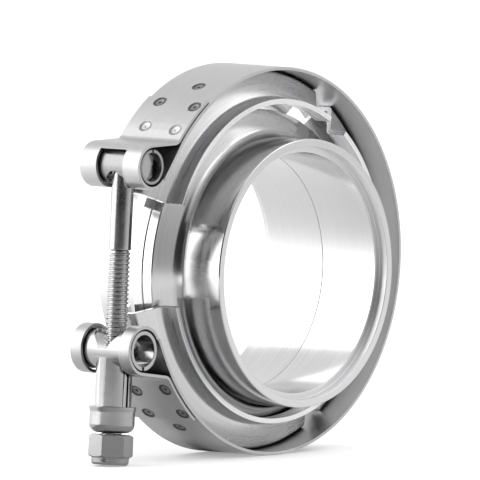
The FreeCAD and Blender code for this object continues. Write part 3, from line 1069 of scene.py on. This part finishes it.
def camera():
    """A long lens from the front left, at the photo's scale."""
    photo_width = 480
    pixels_per_millimetre = 3.534
    distance = 0.6
    shift_right, shift_up = -0.001545, 0.005345
    data = bpy.data.cameras.new("camera")
    data.type = "ORTHO"
    data.ortho_scale = photo_width / pixels_per_millimetre / 1000
    data.clip_start = 0.01
    data.clip_end = 10
    made = bpy.data.objects.new("camera", data)
    bpy.context.scene.collection.objects.link(made)
    shift = shift_right * TO_RIGHT + shift_up * TO_CAMERA.cross(TO_RIGHT)
    made.location = Vector(BAND_CENTRE) + shift + distance * TO_CAMERA
    made.rotation_mode = "QUATERNION"
    made.rotation_quaternion = (-TO_CAMERA).to_track_quat("-Z", "Y")
    bpy.context.scene.camera = made


def cloth(name, stops, rise=None):
    """A glowing cloth whose grey depends on how far to the camera's right a point lies.

    stops are (part of the way to the right, grey). Between the two heights of rise, the cloth
    turns from its greys to white.
    """
    made = bpy.data.materials.new(name)
    made.use_nodes = True
    tree = made.node_tree
    tree.nodes.remove(tree.nodes["Principled BSDF"])
    glow = tree.nodes.new("ShaderNodeEmission")
    place = tree.nodes.new("ShaderNodeTexCoord")
    parts = tree.nodes.new("ShaderNodeSeparateXYZ")
    tree.links.new(place.outputs["Object"], parts.inputs[0])
    flat = tree.nodes.new("ShaderNodeCombineXYZ")
    tree.links.new(parts.outputs["X"], flat.inputs["X"])
    tree.links.new(parts.outputs["Y"], flat.inputs["Y"])
    direction = tree.nodes.new("ShaderNodeVectorMath")
    direction.operation = "NORMALIZE"
    tree.links.new(flat.outputs[0], direction.inputs[0])
    side = tree.nodes.new("ShaderNodeVectorMath")
    side.operation = "DOT_PRODUCT"
    side.inputs[1].default_value = TO_RIGHT
    tree.links.new(direction.outputs[0], side.inputs[0])
    step = tree.nodes.new("ShaderNodeMapRange")
    step.inputs["From Min"].default_value = -1.0
    tree.links.new(side.outputs["Value"], step.inputs["Value"])
    ramp = tree.nodes.new("ShaderNodeValToRGB")
    ramp.color_ramp.interpolation = "EASE"
    while len(ramp.color_ramp.elements) < len(stops):
        ramp.color_ramp.elements.new(1.0)
    for element, (position, level) in zip(ramp.color_ramp.elements, stops):
        element.position = (position + 1) / 2
        element.color = grey(level)
    tree.links.new(step.outputs[0], ramp.inputs[0])
    tree.links.new(ramp.outputs[0], glow.inputs["Color"])
    if rise:
        lift = tree.nodes.new("ShaderNodeMapRange")
        lift.interpolation_type = "SMOOTHSTEP"
        lift.inputs["From Min"].default_value = rise[0]
        lift.inputs["From Max"].default_value = rise[1]
        tree.links.new(parts.outputs["Z"], lift.inputs["Value"])
        blend = tree.nodes.new("ShaderNodeMix")
        blend.data_type = "RGBA"
        tree.links.new(lift.outputs[0], blend.inputs["Factor"])
        tree.links.new(ramp.outputs[0], blend.inputs["A"])
        blend.inputs["B"].default_value = grey(1)
        tree.links.new(blend.outputs["Result"], glow.inputs["Color"])
    tree.links.new(glow.outputs[0], tree.nodes["Material Output"].inputs["Surface"])
    return made


def only_mirrored(piece):
    piece.visible_camera = False
    piece.visible_diffuse = False
    piece.visible_shadow = False


def keep_camera_side(piece):
    """Leaves the part between 60 degrees to the camera's left and 90 degrees to its right."""
    for turn in (0, 30):
        edit_all(piece)
        away = -Vector((TO_CAMERA.x, TO_CAMERA.y, 0))
        away.rotate(Matrix.Rotation(math.radians(turn), 3, "Z"))
        bpy.ops.mesh.bisect(plane_co=(0, 0, 0), plane_no=away, clear_outer=True)
        leave_edit()


CLOTH_REACH = 0.4
MAT_THICKNESS = 0.0002


def camera_screen(floor_height):
    """A dark cloth round the camera's side that only metal sees."""
    low, top = 0.04, 0.70
    deselect()
    bpy.ops.mesh.primitive_cylinder_add(
        vertices=96,
        radius=CLOTH_REACH,
        depth=top - low,
        end_fill_type="NOTHING",
        location=(0, 0, floor_height + (low + top) / 2),
    )
    screen = name_it("camera_side_screen")
    keep_place()
    keep_camera_side(screen)
    greys = [
        (-0.87, 0.17),
        (-0.7, 0.15),
        (-0.5, 0.03),
        (0.45, 0.04),
        (0.63, 0.42),
        (0.77, 0.6),
        (0.98, 0.9),
    ]
    screen.data.materials.append(cloth("camera_side_cloth", greys, rise=(0.22, 0.6)))
    only_mirrored(screen)


def camera_mat(floor_height):
    """A grey cloth on the floor before the object that only metal sees."""
    deselect()
    above_paper = (0, 0, floor_height + MAT_THICKNESS)
    bpy.ops.mesh.primitive_circle_add(
        vertices=96, radius=CLOTH_REACH, fill_type="NGON", location=above_paper
    )
    mat = name_it("camera_side_mat")
    keep_place()
    keep_camera_side(mat)
    greys = [(-0.87, 0.32), (-0.3, 0.5), (0.3, 0.75), (0.9, 0.95)]
    mat.data.materials.append(cloth("camera_side_mat_cloth", greys))
    only_mirrored(mat)


outer_band()
retainer("upper_retainer", "upper_retainer_channel", "upper_arm")
retainer("lower_retainer", "lower_retainer_channel", "lower_arm")
retainer("back_retainer", "back_retainer_channel", "root")
weld_flanges()
head_sleeve()
folded_trunnion()
stem_cup()
lock_nut()
threaded_bolt()

floor_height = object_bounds()[0].z
studio(floor_height)
camera()
camera_screen(floor_height)
camera_mat(floor_height)
lamp("back left softbox", (-0.536, 0.765, 0.358), 1.1, wide=1.54, high=1.32, power=8.9)
lamp("overhead softbox", (0.287, -0.497, 0.819), 1.0, wide=1.0, high=0.7, power=3.3)

scene = bpy.context.scene
scene.view_settings.view_transform = "Standard"
